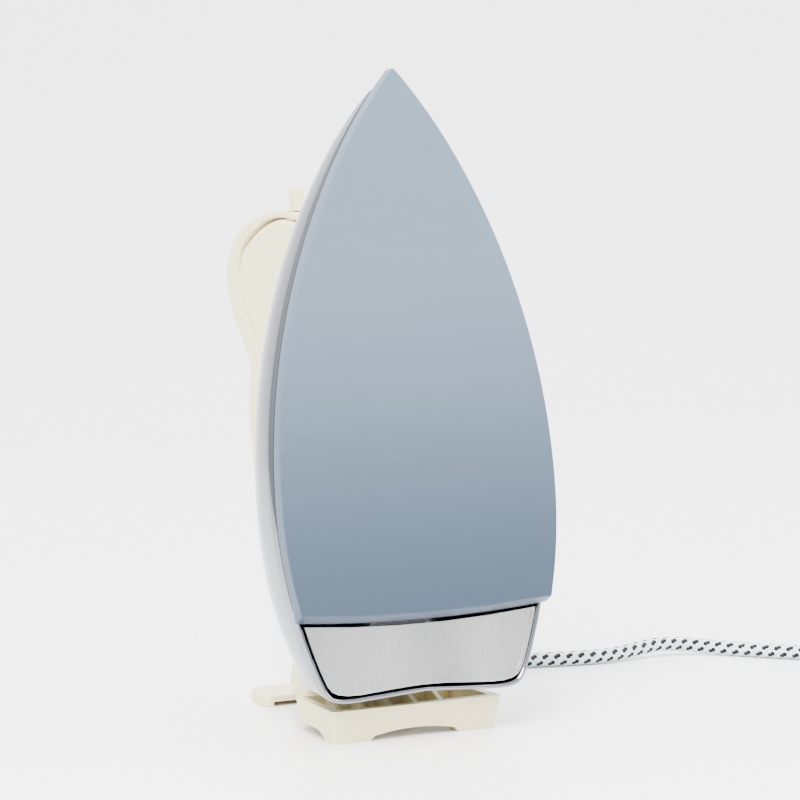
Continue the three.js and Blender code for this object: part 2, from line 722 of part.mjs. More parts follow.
// ---------------------------------------------------------------- lead

const GUARD_START = new THREE.Vector3(HANDLE_HALF_WIDTH - 3.6, 72.4, 31.4);
const GUARD_WAY = new THREE.Vector3(...CORD_ROUTE[0]).sub(GUARD_START).normalize();

function alongGuard(geometry, distance) {
  const turn = new THREE.Quaternion().setFromUnitVectors(new THREE.Vector3(0, 1, 0), GUARD_WAY);
  geometry.applyQuaternion(turn);
  geometry.translate(...GUARD_START.clone().addScaledVector(GUARD_WAY, distance).toArray());
  return geometry;
}

function guardBore() {
  return inIron(alongGuard(new THREE.CylinderGeometry(5.4, 5.4, 22, 20), 0));
}

// The tapered guard: a hollow sleeve with raised rings, thinner towards its end.
function cordGuard() {
  const length = new THREE.Vector3(...CORD_ROUTE[0]).distanceTo(GUARD_START) - GAP;
  const bore = CORD_RADIUS + GAP;
  const count = 6;
  const rings = range(count).flatMap((i) => {
    const at = 7 + ((length - 10) * i) / count;
    const radius = 5 - (1.2 * i) / count;
    return [[radius - 0.45, at], [radius, at + 0.4], [radius, at + 2.2], [radius - 0.45, at + 2.6]];
  });
  const outline = [[0, 0], [5.1, 0], [5.1, 6], ...rings, [bore + 0.4, length], [0, length]];
  return alongGuard(lathe(outline, 16), 0);
}

function cordClamp() {
  return cut(box(-4.6, 4.6, -15.6, -12.2, 68.6, 77.4), post(0, -13.9, 60, 90, 1.4, 12));
}

function cordCoil() {
  const round = 3;
  const section = [
    [COIL_INNER, round], [COIL_INNER + round, 0.1], [COIL_OUTER - round, 0.1], [COIL_OUTER, round],
    [COIL_OUTER, COIL_TOP - round], [COIL_OUTER - round, COIL_TOP], [COIL_INNER + round, COIL_TOP],
    [COIL_INNER, COIL_TOP - round], [COIL_INNER, round],
  ];
  const ring = lathe(section, 48);
  ring.rotateX(Math.PI / 2);
  ring.translate(COIL_CENTRE[0], COIL_CENTRE[1], 0);
  return ring;
}

// A round two-pin plug that lies on the floor beyond the coil, with its cable boot.
const PLUG_LENGTH = 36;
const PLUG_RADIUS = 18.5;
const BOOT_LENGTH = 22;
const PIN_SPACING = 19;

function plug() {
  const group = new THREE.Group();
  const boot = [[0, 0], [3.9, 0], [4.6, 6], [6, BOOT_LENGTH], [0, BOOT_LENGTH]];
  const bodyLine = [
    [0, 0], [7.4, 0], [9, 2.6], [13, 12], [16.4, 18.6], [PLUG_RADIUS, 23], [PLUG_RADIUS, PLUG_LENGTH - 1.2],
    [PLUG_RADIUS - 1.2, PLUG_LENGTH], [0, PLUG_LENGTH],
  ];
  const body = lathe(bodyLine, 32);
  body.translate(0, BOOT_LENGTH + GAP, 0);
  group.add(piece('plug_boot', lathe(boot, 24), CREAM));
  group.add(piece('plug_body', body, CREAM));
  SIDES.forEach(([side, sign]) => {
    const pin = lathe([[0, 0], [2.4, 0], [2.4, 17.4], [1.2, 19], [0, 19]], 16);
    pin.translate((sign * PIN_SPACING) / 2, BOOT_LENGTH + PLUG_LENGTH + 2 * GAP, 0);
    group.add(piece(`plug_pin_${side}`, pin, BRASS));
  });
  const last = new THREE.Vector3(...TAIL_ROUTE[TAIL_ROUTE.length - 1]);
  const way = last.clone().sub(new THREE.Vector3(...TAIL_ROUTE[TAIL_ROUTE.length - 2])).normalize();
  group.quaternion.setFromUnitVectors(new THREE.Vector3(0, 1, 0), way);
  group.position.copy(last.addScaledVector(way, GAP));
  return group;
}

// ---------------------------------------------------------------- assembly

const iron = new THREE.Group();
iron.applyMatrix4(IRON_TO_WORLD);
iron.add(piece('soleplate', soleplate(), SATIN_SOLE));
iron.add(piece('chrome_cover', coverShell(), CHROME));
iron.add(piece('rear_plate', rearPlate(), BRUSHED));
iron.add(piece('handle_body', handleBody(), CREAM));
iron.add(piece('handle_top_strip', topStrip(), CREAM));
iron.add(selector());
iron.add(piece('heating_element', heatingElement(), CAST_IRON));
iron.add(piece('weight_plate', weightPlate(), CAST_IRON));
iron.add(...weightScrews());
iron.add(piece('heat_shield', heatShield(), MICA));
iron.add(...thermostat());
iron.add(piece('front_handle_stud', stud(FRONT_STUD_Y, 29.6, 60), ZINC));
iron.add(piece('rear_handle_stud', stud(REAR_STUD_Y, 28, 64), ZINC));
iron.add(piece('rear_bracket', rearBracket(), ZINC));
iron.add(piece('terminal_block', terminalBlock(), CERAMIC));
CORES.forEach(([core, x]) => {
  iron.add(piece(`${core}_terminal_screw`, terminalScrew(x), BRASS));
  iron.add(piece(`${core}_wire`, coreWire(x), RUBBER));
});
iron.add(piece('cord_clamp', cordClamp(), ZINC));

const stand = new THREE.Group();
stand.add(piece('heel_block', heelBlock(), CREAM));
stand.add(...heelScrews());
stand.add(piece('rear_plinth', rearPlinth(), CREAM));
stand.add(piece('rear_foot', rearFoot(), CREAM));
stand.add(piece('rear_foot_screw', footScrew(), ZINC));
stand.add(piece('cord_guard', cordGuard(), RUBBER));
stand.add(piece('mains_cord', tube(CORD_ROUTE, CORD_RADIUS, CORD_SIDES, 26), BRAID));
stand.add(piece('cord_coil', cordCoil(), BRAID));
stand.add(piece('cord_tail', tube(TAIL_ROUTE, CORD_RADIUS, CORD_SIDES, 4), BRAID));
stand.add(plug());

const whole = new THREE.Group();
whole.position.y = -DEPTH_CENTRE;
whole.add(iron, stand);
whole.updateMatrixWorld(true);

export default whole;
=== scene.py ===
# A heavy electric dry iron standing on its heel, with its braided mains lead.
# Metres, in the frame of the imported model: +Z up, the soleplate faces -Y.

import json
import math

import bmesh
import bpy
from mathutils import Matrix, Vector
from mathutils.geometry import interpolate_bezier


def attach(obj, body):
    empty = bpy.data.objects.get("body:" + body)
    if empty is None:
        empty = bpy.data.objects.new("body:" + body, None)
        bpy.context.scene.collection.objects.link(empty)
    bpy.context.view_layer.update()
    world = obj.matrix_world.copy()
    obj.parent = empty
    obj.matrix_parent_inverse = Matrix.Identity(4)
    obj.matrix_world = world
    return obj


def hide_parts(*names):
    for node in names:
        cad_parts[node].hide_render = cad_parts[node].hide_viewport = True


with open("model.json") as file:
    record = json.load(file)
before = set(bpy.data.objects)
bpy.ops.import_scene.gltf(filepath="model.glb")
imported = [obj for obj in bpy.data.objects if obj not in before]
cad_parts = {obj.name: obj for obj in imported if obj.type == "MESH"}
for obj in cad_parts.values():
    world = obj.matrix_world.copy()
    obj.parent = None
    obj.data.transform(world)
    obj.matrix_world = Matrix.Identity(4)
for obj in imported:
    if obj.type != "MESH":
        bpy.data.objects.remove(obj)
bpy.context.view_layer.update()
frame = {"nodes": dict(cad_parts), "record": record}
nodes = frame["nodes"]

MM = 0.001

# ---------------------------------------------------------------- dimensions of the iron

LEAN = math.radians(8.2)
HEEL_RISE = 51.2 * MM
DEPTH_CENTRE = 72.3 * MM

SOLE_HALF_WIDTH = 58 * MM
SOLE_WIDEST_Y = 41.5 * MM
SOLE_NOSE_RADIUS = 254 * MM
SOLE_HEEL_RADIUS = 175 * MM
SOLE_POINT_Y = 170 * MM
SOLE_POINT_DRAW = 1.25 * MM
SOLE_LENGTH = 201 * MM

COVER_RIM_Z = 6.8 * MM
COVER_HEIGHT = 42 * MM
COVER_WALL = 1.3 * MM
COVER_CORNER = 3            # power of the superellipse across the cover
COVER_CREST_POWER = 0.55    # how full the cover's top line is towards the nose
COVER_INSET = 0.4 * MM      # how far the cover's rim stands inside the soleplate's edge
COVER_NOSE_Y = 194 * MM
COVER_CREST_Y = 55 * MM
COVER_REAR_Y = -36.6 * MM
COVER_REAR_ROUND = 11.5 * MM
COVER_REAR_POWER = 4
COVER_REAR_SLANT = 0.2
COVER_REAR_ARCH = 5 * MM
ARCH_HALF_SPAN = 40 * MM
REAR_SHIFT_FROM, REAR_SHIFT_FULL = -10 * MM, 30 * MM    # distances behind y = 0
COVER_AROUND, COVER_ALONG = 72, 150                     # faces of the cover's mesh
COVER_ROW_EASING = 0.65     # share of the row spacing that closes up at both ends

# The iron's own frame (x across, y to the nose, z to the handle) in the model's frame.
IRON = Matrix((
    (-1, 0, 0, 0),
    (0, math.sin(LEAN), math.cos(LEAN), -DEPTH_CENTRE),
    (0, math.cos(LEAN), -math.sin(LEAN), HEEL_RISE),
    (0, 0, 0, 1),
))

CORD_RADIUS = 3 * MM
CORD_SIDES = 20
CORD_CURVE_STEPS = 5
CORD_ROUTE = [
    (45, 95, 14.6), (52, 99, 11.6), (60, 103, 8.6), (69, 106.9, 6.0),
    (79, 109.6, 4.0), (90, 111.4, 3.2), (101, 112, 3.1), (112, 110.6, 3.1),
    (124, 107.4, 3.1), (136, 105.3, 3.1), (148, 105.2, 3.4), (160, 106.4, 4.4),
    (171, 107.2, 5.2), (182, 105.6, 4.6), (192, 100.4, 3.6), (201, 92, 3.1),
    (210, 82.4, 3.1), (219, 73, 3.1), (228, 63.4, 3.1), (234.6, 51.4, 3.1),
]
TAIL_ROUTE = [(324.1, 43.4, 3.1), (325.8, 48.4, 3.6), (327.6, 53.6, 4.9), (329.3, 58.6, 6.4)]
COIL_CENTRE = (278, 36)
COIL_START = math.radians(188)
COIL_STEPS_PER_TURN = 30
# How the coil lies: turns made, then the radius and height of the lead's middle there.
COIL_LAY = [
    (0, 39, 3.4), (0.85, 39, 3.4), (1.1, 33, 3.4), (1.85, 33, 3.4), (2.1, 27, 3.4),
    (2.55, 27, 3.4), (2.8, 27, 9.4), (3.3, 27, 9.4), (3.55, 33, 9.4), (4.3, 33, 9.4),
    (4.55, 39, 9.4), (5.05, 39, 9.4), (5.17, 38.6, 12.4), (5.3, 36, 15), (5.78, 36, 15),
    (5.9, 41.5, 14.8), (6.0, 44.8, 11.6), (6.1, 45.2, 7.6), (6.22, 45.4, 4.4), (6.44, 46, 3.1),
]
# The strap round the coil: its section as distance from the coil's middle and height.
TIE_OUTLINE = [(23.4, 0.3), (42.6, 0.3), (42.8, 12.4), (39.4, 18.6), (32.5, 18.9), (23.6, 13)]
TIE_ANGLE = math.radians(95)
TIE_HALF_WIDTH = 3.2
TIE_THICKNESS = 0.7
TIE_MIDDLE = 33
TIE_LOW_BELOW = 10          # points under this height lie on the floor
TIE_LOW_SHARE = -0.25       # of the thickness, how much these rise

# ---------------------------------------------------------------- camera

CAMERA_AZIMUTH = math.radians(-28.34)
CAMERA_ELEVATION = math.radians(5.89)
CAMERA_DISTANCE = 1.2
CAMERA_LENS = 144.7
CAMERA_SENSOR = 36
CAMERA_AIM = Vector((-3.5, -55.5, 126.9)) * MM


def add_camera():
    back = Vector((
        math.sin(CAMERA_AZIMUTH) * math.cos(CAMERA_ELEVATION),
        -math.cos(CAMERA_AZIMUTH) * math.cos(CAMERA_ELEVATION),
        math.sin(CAMERA_ELEVATION),
    ))
    data = bpy.data.cameras.new("camera")
    data.lens = CAMERA_LENS
    data.sensor_width = CAMERA_SENSOR
    camera = bpy.data.objects.new("camera", data)
    camera.location = CAMERA_AIM + back * CAMERA_DISTANCE
    camera.rotation_mode = "QUATERNION"
    camera.rotation_quaternion = (-back).to_track_quat("-Z", "Y")
    bpy.context.scene.collection.objects.link(camera)
    bpy.context.scene.camera = camera


add_camera()

# ---------------------------------------------------------------- node materials

NOISE_LOW, NOISE_HIGH = 0.3, 0.7    # most of a noise texture's values lie between these


class Graph:
    """A material's node tree, built by short calls that return sockets."""

    def __init__(self, name):
        self.material = bpy.data.materials.new(name)
        self.material.use_nodes = True
        self.tree = self.material.node_tree
        self.shader = self.tree.nodes["Principled BSDF"]

    def link(self, value, socket):
        if isinstance(value, bpy.types.NodeSocket):
            self.tree.links.new(value, socket)
        else:
            socket.default_value = value

    def node(self, kind, inputs=(), **settings):
        made = self.tree.nodes.new(kind)
        for name, value in settings.items():
            setattr(made, name, value)
        for key, value in dict(inputs).items():
            self.link(value, made.inputs[key])
        return made

    def math(self, operation, a, b=0.0, c=0.0):
        return self.node("ShaderNodeMath", {0: a, 1: b, 2: c}, operation=operation).outputs[0]

    def place(self, scale=(1, 1, 1)):
        """Object coordinates, scaled: in metres, fixed to the piece."""
        coordinates = self.node("ShaderNodeTexCoord").outputs["Object"]
        return self.node("ShaderNodeMapping", {"Vector": coordinates, "Scale": scale}).outputs[0]

    def noise(self, scale, detail=3.0, roughness=0.5, vector=None):
        inputs = {"Scale": scale, "Detail": detail, "Roughness": roughness}
        inputs["Vector"] = vector if vector is not None else self.place()
        return self.node("ShaderNodeTexNoise", inputs).outputs["Fac"]

    def ramp(self, value, start, end, low, high, **settings):
        """The value's run from start to end, spread over low to high and clamped there."""
        return self.node(
            "ShaderNodeMapRange",
            {"Value": value, "From Min": start, "From Max": end, "To Min": low, "To Max": high},
            **settings,
        ).outputs[0]

    def between(self, factor, low, high):
        """A noise texture's usual values, spread over low to high."""
        return self.ramp(factor, NOISE_LOW, NOISE_HIGH, low, high)

    def mix(self, factor, a, b):
        made = self.node("ShaderNodeMix", data_type="RGBA")
        self.link(factor, made.inputs["Factor"])
        self.link((*a, 1) if isinstance(a, tuple) else a, made.inputs["A"])
        self.link((*b, 1) if isinstance(b, tuple) else b, made.inputs["B"])
        return made.outputs["Result"]

    def bump(self, height, strength, distance):
        return self.node(
            "ShaderNodeBump",
            {"Height": height, "Strength": strength, "Distance": distance},
        ).outputs[0]

    def shade(self, **values):
        for key, value in values.items():
            socket = self.shader.inputs[key.replace("_", " ").title()]
            is_colour = isinstance(value, tuple) and len(value) == 3
            self.link((*value, 1) if is_colour else value, socket)
        return self.material


def plastic(name, light, dark, roughness=0.36):
    """Moulded plastic: a slight colour drift, a fine orange peel, and soft scuffs in its gloss."""
    graph = Graph(name)
    drift = graph.noise(14, 4)
    peel = graph.noise(900, 2)
    scuffs = graph.noise(60, 6, 0.7, graph.place((1, 1, 0.25)))
    graph.shader.inputs["Specular IOR Level"].default_value = 0.5
    graph.shader.inputs["Subsurface Weight"].default_value = 0.08
    graph.shader.inputs["Subsurface Scale"].default_value = 0.004
    return graph.shade(
        base_color=graph.mix(drift, light, dark),
        roughness=graph.between(scuffs, roughness - 0.05, roughness + 0.08),
        normal=graph.bump(peel, 0.12, 0.0002),
    )


# Darker than the real metal, as the chrome's base colour is too: both were tuned with this
# scene's strong lights.
# The colour runs from SOLE_TOP high up to the darker heel tone low down: a painted reflection,
# lighter above and darker below.
SOLE_TOP = (0.145, 0.195, 0.255)
SOLE_HEEL_PAINTED_REFLECTION = (0.047, 0.07, 0.102)
SOLE_HEEL_Z, SOLE_TOP_Z = 0.04, 0.19    # heights in metres where these tones are reached


def satin_sole():
    """The satin blue-grey face: faint crosswise brushing, and a painted reflection that darkens its
    tone towards the heel.
    """
    graph = Graph("satin_sole")
    across = graph.noise(420, 3, 0.6, graph.place((0.06, 1, 1)))
    fine = graph.noise(1600, 2, 0.5, graph.place((0.15, 1, 1)))
    cloud = graph.noise(9, 3)
    height = graph.node("ShaderNodeSeparateXYZ", {"Vector": graph.place()}).outputs["Z"]
    # Painted reflection: the colour darkens from the top tone to the heel tone as the height falls.
    painted_reflection_rise = graph.ramp(height, SOLE_HEEL_Z, SOLE_TOP_Z, 0.0, 1.0, interpolation_type="SMOOTHSTEP")
    tint = graph.mix(cloud, SOLE_TOP, tuple(0.96 * part for part in SOLE_TOP))
    lines = graph.math(
        "ADD",
        graph.math("MULTIPLY", across, 0.6),
        graph.math("MULTIPLY", fine, 0.4),
    )
    return graph.shade(
        base_color=graph.mix(painted_reflection_rise, SOLE_HEEL_PAINTED_REFLECTION, tint),
        metallic=0.62,
        roughness=graph.between(lines, 0.36, 0.44),
        normal=graph.bump(lines, 0.08, 0.0003),
    )


def chrome():
    """Bright plating with very slight waviness and a haze of wiping marks."""
    graph = Graph("chrome")
    wave = graph.noise(16, 2)
    haze = graph.noise(120, 5, 0.65, graph.place((1, 1, 0.3)))
    return graph.shade(
        base_color=(0.22, 0.235, 0.26),
        metallic=1.0,
        roughness=graph.between(haze, 0.07, 0.13),
        normal=graph.bump(wave, 0.06, 0.002),
    )


def brushed(name, light, dark, along=(1, 1, 0.02), roughness=0.3):
    """Metal with fine lines and soft broad stripes of painted sheen, drawn out along the axis
    scaled down in along.
    """
    graph = Graph(name)
    # Painted sheen: broad soft stripes that lift the colour to the light tone, in place of the
    # metal's shifting reflection.
    painted_sheen_bands = graph.noise(26, 2, 0.5, graph.place(along))
    coarse = graph.noise(900, 3, 0.6, graph.place(along))
    fine = graph.noise(3200, 2, 0.5, graph.place(along))
    lines = graph.math(
        "ADD",
        graph.math("MULTIPLY", coarse, 0.55),
        graph.math("MULTIPLY", fine, 0.45),
    )
    return graph.shade(
        base_color=graph.mix(
            graph.between(painted_sheen_bands, 0.0, 1.0),
            light,
            graph.mix(graph.between(lines, 0.0, 1.0), light, dark),
        ),
        metallic=1.0,
        roughness=graph.between(lines, roughness - 0.06, roughness + 0.1),
        normal=graph.bump(lines, 0.5, 0.0002),
    )


def rough_metal(name, light, dark, roughness, grain):
    """A cast, plated or heat-darkened metal with a grained surface."""
    graph = Graph(name)
    grains = graph.noise(grain, 5, 0.6)
    patches = graph.noise(35, 4)
    return graph.shade(
        base_color=graph.mix(patches, light, dark),
        metallic=0.9,
        roughness=graph.between(grains, roughness - 0.08, roughness + 0.12),
        normal=graph.bump(grains, 0.3, 0.0004),
    )


BRAID_ROWS = 6              # rows of black ticks round the lead
BRAID_PITCH = 5.2 * MM      # between ticks along a row
TICK_HALF_LENGTH = 0.96 * MM
TICK_SPREAD = 0.58 * MM     # the two yarns of a tick lie this far before and after its middle
TICK_ASIDE = 0.11           # and this far to the sides, as a part of the row's width
TICK_NARROWING = 3.3        # one over a yarn's half width, in rows
TICK_POWER = 3.0            # a yarn's outline is a superellipse of this power
TICK_INSIDE, TICK_OUTSIDE = 0.85, 1.1   # a tick fades out between these shares of its outline
YARN_PITCH = 1.1 * MM
YARNS_ROUND = 16


def braid():
    """White cotton braid: two crossing waves of yarns, and black ticks in staggered rows."""
    graph = Graph("braid")
    coordinates = graph.node("ShaderNodeTexCoord").outputs["UV"]
    uv = graph.node("ShaderNodeSeparateXYZ", {"Vector": coordinates})
    along, around = uv.outputs["X"], uv.outputs["Y"]
    row = graph.math("MULTIPLY", around, BRAID_ROWS)
    row_number = graph.math("FLOOR", row)
    in_row = graph.math("SUBTRACT", graph.math("FRACT", row), 0.5)
    stagger = graph.math("MULTIPLY", graph.math("MODULO", row_number, 2.0), 0.5)
    step = graph.math("ADD", graph.math("DIVIDE", along, BRAID_PITCH), stagger)
    from_middle = graph.math(
        "MULTIPLY",
        graph.math("SUBTRACT", graph.math("FRACT", step), 0.5),
        BRAID_PITCH,
    )
    # A tick is two short yarns, one ahead of the other and a little to its side.
    marks = []
    for sign in (-1, 1):
        ahead = graph.math("ADD", from_middle, sign * TICK_SPREAD)
        aside = graph.math("ADD", in_row, sign * -TICK_ASIDE)
        length = graph.math("DIVIDE", graph.math("ABSOLUTE", ahead), TICK_HALF_LENGTH)
        width = graph.math("MULTIPLY", graph.math("ABSOLUTE", aside), TICK_NARROWING)
        ends = graph.math("POWER", length, TICK_POWER)
        marks.append(graph.math("ADD", ends, graph.math("POWER", width, TICK_POWER)))
    tick = graph.ramp(graph.math("MINIMUM", *marks), TICK_INSIDE, TICK_OUTSIDE, 1.0, 0.0)
    yarns = 2 * math.pi / YARN_PITCH
    turn = graph.math("MULTIPLY", around, 2 * math.pi * YARNS_ROUND)
    rising = graph.math("SINE", graph.math("ADD", graph.math("MULTIPLY", along, yarns), turn))
    falling = graph.math("SINE", graph.math("SUBTRACT", graph.math("MULTIPLY", along, yarns), turn))
    weave = graph.math("ADD", graph.math("MAXIMUM", rising, falling), graph.noise(2600, 2))
    shadow = graph.math("MULTIPLY_ADD", weave, 0.16, 0.72)
    cotton = graph.mix(shadow, (0.34, 0.385, 0.39), (0.72, 0.79, 0.79))
    graph.shader.inputs["Sheen Weight"].default_value = 0.1
    graph.shader.inputs["Specular IOR Level"].default_value = 0.15
    return graph.shade(
        base_color=graph.mix(tick, cotton, (0.006, 0.0065, 0.008)),
        roughness=0.82,
        normal=graph.bump(weave, 0.6, 0.0003),
    )


CREAM = plastic("cream_plastic", (0.72, 0.65, 0.40), (0.69, 0.615, 0.365))
SOFT_CREAM = plastic("soft_cream", (0.72, 0.66, 0.46), (0.69, 0.63, 0.42), 0.55)
CHROME = chrome()
SOLE = satin_sole()
PLATE = brushed("brushed_plate", (0.60, 0.60, 0.59), (0.17, 0.17, 0.167))
ZINC = brushed("zinc", (0.74, 0.75, 0.76), (0.62, 0.63, 0.64), (1, 1, 1), 0.35)
BRASS = brushed("brass", (0.72, 0.56, 0.26), (0.62, 0.47, 0.2), (1, 1, 0.1), 0.28)
CAST_IRON = rough_metal("cast_iron", (0.10, 0.10, 0.105), (0.06, 0.06, 0.065), 0.65, 700)
SHEATH = rough_metal("sheath", (0.24, 0.21, 0.20), (0.12, 0.12, 0.14), 0.5, 1200)
MICA = plastic("mica", (0.52, 0.44, 0.32), (0.40, 0.33, 0.24), 0.4)
CERAMIC = plastic("ceramic", (0.80, 0.77, 0.70), (0.76, 0.72, 0.64), 0.6)
SLEEVE = plastic("wire_sleeve", (0.66, 0.65, 0.62), (0.58, 0.57, 0.54), 0.75)
BRAID = braid()
# Near-black look for the sheet that paints the shade in the gap between the soleplate and the
# cover.
GAP_SHADE = rough_metal("gap_shade_sheet", (0.02, 0.02, 0.022), (0.012, 0.012, 0.013), 0.7, 900)

LOOKS = {
    "satin_sole": SOLE,
    "chrome": CHROME,
    "brushed_steel": PLATE,
    "cream_plastic": CREAM,
    "zinc": ZINC,
    "sheath": SHEATH,
    "cast_iron": CAST_IRON,
    "mica": MICA,
    "brass": BRASS,
    "ceramic": CERAMIC,
    "wire_sleeve": SLEEVE,
    "guard_rubber": SOFT_CREAM,
    "plug_plastic": CREAM,
    "braid": BRAID,
}
SLOT_OF = {entry["node"]: entry["material_slot"] for entry in frame["record"]["subparts"]}


def dress_cad_nodes():
    for name, node in nodes.items():
        node.data.materials.clear()
        node.data.materials.append(LOOKS[SLOT_OF[name]])


dress_cad_nodes()

# ---------------------------------------------------------------- making pieces

BEVEL_SEGMENTS = 3
SHARP_ANGLE = 28            # degrees between faces, from which an edge is rounded or stays sharp
PLAIN_SHARP_ANGLE = 40      # the same for a shell whose edges aren't rounded
WELD_DISTANCE = 0.02 * MM
FLAT_ANGLE = math.radians(0.6)


def new_piece(name, vertices, faces, body, look):
    mesh = bpy.data.meshes.new(name)
    mesh.from_pydata(vertices, [], faces)
    mesh.materials.append(look)
    piece = bpy.data.objects.new(name, mesh)
    bpy.context.scene.collection.objects.link(piece)
    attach(piece, body)
    return piece


def smooth(piece, angle):
    """Shades the piece smooth, with edges sharper than the angle in degrees left sharp."""
    for polygon in piece.data.polygons:
        polygon.use_smooth = True
    edges = bmesh.new()
    edges.from_mesh(piece.data)
    for edge in edges.edges:
        edge.smooth = edge.calc_face_angle(0) < math.radians(angle)
    edges.to_mesh(piece.data)
    edges.free()


def round_edges(piece, width, angle=SHARP_ANGLE):
    bevel = piece.modifiers.new("rounded_edges", "BEVEL")
    bevel.width = width
    bevel.segments = BEVEL_SEGMENTS
    bevel.limit_method = "ANGLE"
    bevel.angle_limit = math.radians(angle)
    bevel.harden_normals = True
    bevel.use_clamp_overlap = True


def refined(name, body, edge, angle=SHARP_ANGLE):
    """A copy of a CAD node with its facets shaded smooth, and its edges rounded if edge isn't 0."""
    source = nodes[name]
    work = bmesh.new()
    work.from_mesh(source.data)
    bmesh.ops.remove_doubles(work, verts=work.verts, dist=WELD_DISTANCE)
    bmesh.ops.dissolve_limit(work, angle_limit=FLAT_ANGLE, verts=work.verts, edges=work.edges)
    mesh = bpy.data.meshes.new(name + "_shell")
    work.to_mesh(mesh)
    work.free()
    mesh.materials.append(LOOKS[SLOT_OF[name]])
    piece = bpy.data.objects.new(name + "_shell", mesh)
    bpy.context.scene.collection.objects.link(piece)
    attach(piece, body)
    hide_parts(name)
    smooth(piece, angle)
    if edge:
        round_edges(piece, edge, angle)
    flat = piece.modifiers.new("flat_faces", "WEIGHTED_NORMAL")
    flat.keep_sharp = True
    return piece


# ---------------------------------------------------------------- lead


def in_frame(point):
    x, y, z = point
    return Vector((x * MM, y * MM - DEPTH_CENTRE, z * MM))


def curve_through(points):
    """A smooth line through the points, by Bezier pieces with Catmull-Rom handles."""
    line = []
    last = len(points) - 1
    for i in range(last):
        before, here = points[max(i - 1, 0)], points[i]
        there, after = points[i + 1], points[min(i + 2, last)]
        handles = here + (there - before) / 6, there - (after - here) / 6
        line += interpolate_bezier(here, *handles, there, CORD_CURVE_STEPS + 1)[:-1]
    return line + [points[-1]]


def coil_points():
    """Turns beside and on each other: in along the floor, back out above, off over the side."""
    centre = in_frame((*COIL_CENTRE, 0))
    turns = COIL_LAY[-1][0]
    count = round(COIL_STEPS_PER_TURN * turns)
    points = []
    for i in range(count + 1):
        turn = turns * i / count
        after = next(k for k in range(1, len(COIL_LAY)) if turn <= COIL_LAY[k][0] + 1e-9)
        (turn_a, radius_a, z_a), (turn_b, radius_b, z_b) = COIL_LAY[after - 1], COIL_LAY[after]
        part = (turn - turn_a) / (turn_b - turn_a)
        ease = part * part * (3 - 2 * part)
        radius = (radius_a + (radius_b - radius_a) * ease) * MM
        height = (z_a + (z_b - z_a) * ease) * MM
        angle = COIL_START + 2 * math.pi * turn
        out = Vector((radius * math.cos(angle), radius * math.sin(angle), height))
        points.append(centre + out)
    return points


def coil_tie():
    """A soft strap round the bundle of turns."""
    out = Vector((math.cos(TIE_ANGLE), math.sin(TIE_ANGLE), 0))
    along = Vector((-math.sin(TIE_ANGLE), math.cos(TIE_ANGLE), 0))
    centre = in_frame((*COIL_CENTRE, 0))
    vertices = []
    for side in (-TIE_HALF_WIDTH, TIE_HALF_WIDTH):
        for grow in (0, TIE_THICKNESS):
            for reach, height in TIE_OUTLINE:
                reach += math.copysign(grow, reach - TIE_MIDDLE)
                height += grow if height > TIE_LOW_BELOW else TIE_LOW_SHARE * grow
                beside = (out * reach + along * side) * MM
                vertices.append(centre + beside + Vector((0, 0, height * MM)))
    count = len(TIE_OUTLINE)
    faces = []
    for k in range(count):
        after = (k + 1) % count
        for a, b in ((0, 1), (1, 3), (3, 2), (2, 0)):
            faces.append((a * count + k, a * count + after, b * count + after, b * count + k))
    tie = new_piece("lead_tie", vertices, faces, "iron", SOFT_CREAM)
    round_edges(tie, 0.25 * MM)
    return tie


def tube_along(name, line, radius, sides, body, look):
    """A tube with its length and turn in UV: X in metres along it, Y once round."""
    rings = []
    lengths = [0.0]
    side = Vector((0, 0, 1)).cross(line[1] - line[0]).normalized()
    for i, point in enumerate(line):
        way = (line[min(i + 1, len(line) - 1)] - line[max(i - 1, 0)]).normalized()
        side = (side - way * side.dot(way)).normalized()
        up = way.cross(side)
        angles = [2 * math.pi * k / sides for k in range(sides)]
        rings.append([point + (side * math.cos(a) + up * math.sin(a)) * radius for a in angles])
        if i:
            lengths.append(lengths[-1] + (point - line[i - 1]).length)
    vertices = [corner for ring in rings for corner in ring]
    faces = []
    for i in range(len(line) - 1):
        for k in range(sides):
            a, b = i * sides + k, i * sides + (k + 1) % sides
            faces.append((a, b, b + sides, a + sides))
    faces.append(tuple(reversed(range(sides))))
    faces.append(tuple(range((len(line) - 1) * sides, len(line) * sides)))
    piece = new_piece(name, vertices, faces, body, look)
    layer = piece.data.uv_layers.new(name="UVMap").data
    for number, polygon in enumerate(piece.data.polygons[: len(faces) - 2]):
        i, k = divmod(number, sides)
        corners = [(i, k), (i, k + 1), (i + 1, k + 1), (i + 1, k)]
        for loop, (ring, spoke) in zip(polygon.loop_indices, corners):
            layer[loop].uv = (lengths[ring], spoke / sides)
    smooth(piece, 60)
    return piece, lengths[-1]


def mains_lead(companions):
    route = [in_frame(p) for p in CORD_ROUTE]
    tail = [in_frame(p) for p in TAIL_ROUTE]
    coil = coil_points()
    line = curve_through(route + coil[:1])[:-1] + coil + curve_through(coil[-1:] + tail)[1:]
    piece, length = tube_along("mains_lead", line, CORD_RADIUS, CORD_SIDES, "iron", BRAID)
    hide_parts("mains_cord", "cord_coil", "cord_tail")


# ---------------------------------------------------------------- chrome cover

# At its ends the cover keeps these sizes instead of shrinking to a point.
LEAST_CLOSING = 0.03
LEAST_HALF_WIDTH = 0.15 * MM
LEAST_HEIGHT = 0.5 * MM

# The near-black sheet that paints the shade in the gap between the soleplate and the cover's rim:
# its size and span.
GAP_SHADE_LOW, GAP_SHADE_HIGH = 6.1, 6.7
GAP_SHADE_INSET = 0.25 * MM
GAP_SHADE_BAND = 2
GAP_SHADE_START_Y = 2 * MM
GAP_SHADE_END_SPACE = 3 * MM
GAP_SHADE_STEPS = 60


